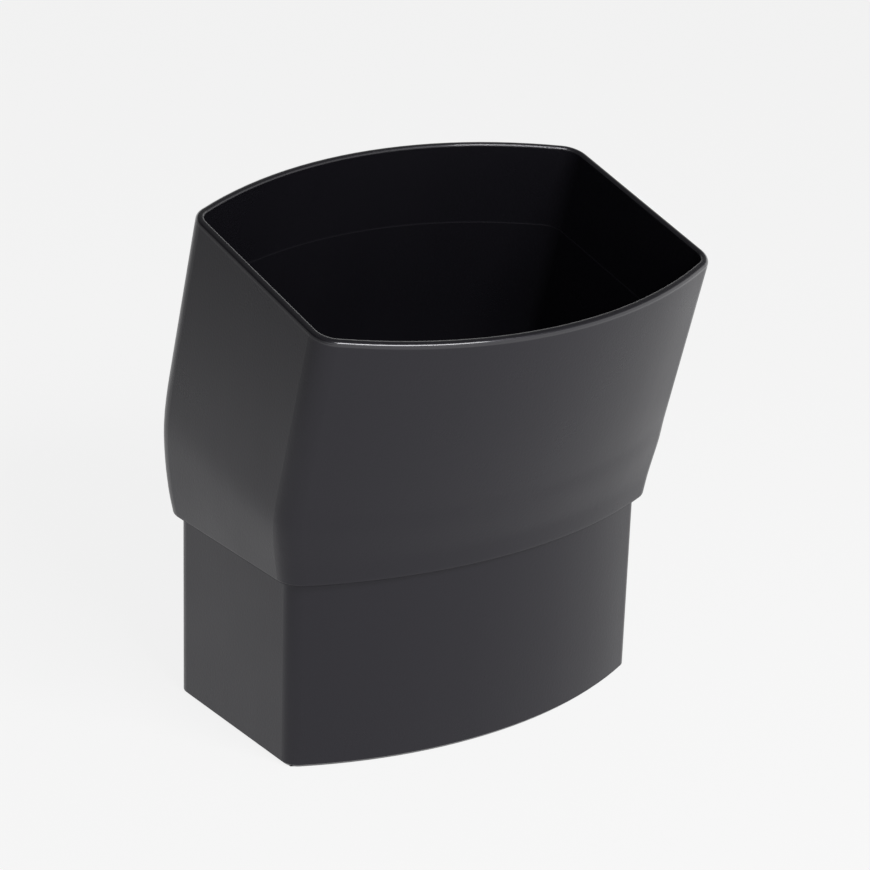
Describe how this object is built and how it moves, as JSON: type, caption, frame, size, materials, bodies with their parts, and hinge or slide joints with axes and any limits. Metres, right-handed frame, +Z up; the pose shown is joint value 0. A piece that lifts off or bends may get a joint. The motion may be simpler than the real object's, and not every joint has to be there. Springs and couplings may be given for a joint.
{
  "type": "downpipe bend",
  "caption": "Charcoal plastic downpipe bend of bowed rectangular section: a spigot to go down into a pipe, a shoulder, and a flared socket that leans forward to take the pipe from above.",
  "frame": {"origin": "centre of the spigot's lower end, on the surface that it stands on", "axes": "+Z up the spigot; X along the two bowed sides; the socket leans towards -Y"},
  "size_m": [0.1106, 0.0927, 0.1285],
  "materials": {
    "body": "satin charcoal moulded plastic"
  },
  "bodies": {
    "root": {"bend_body": "body"}
  },
  "joints": []
}
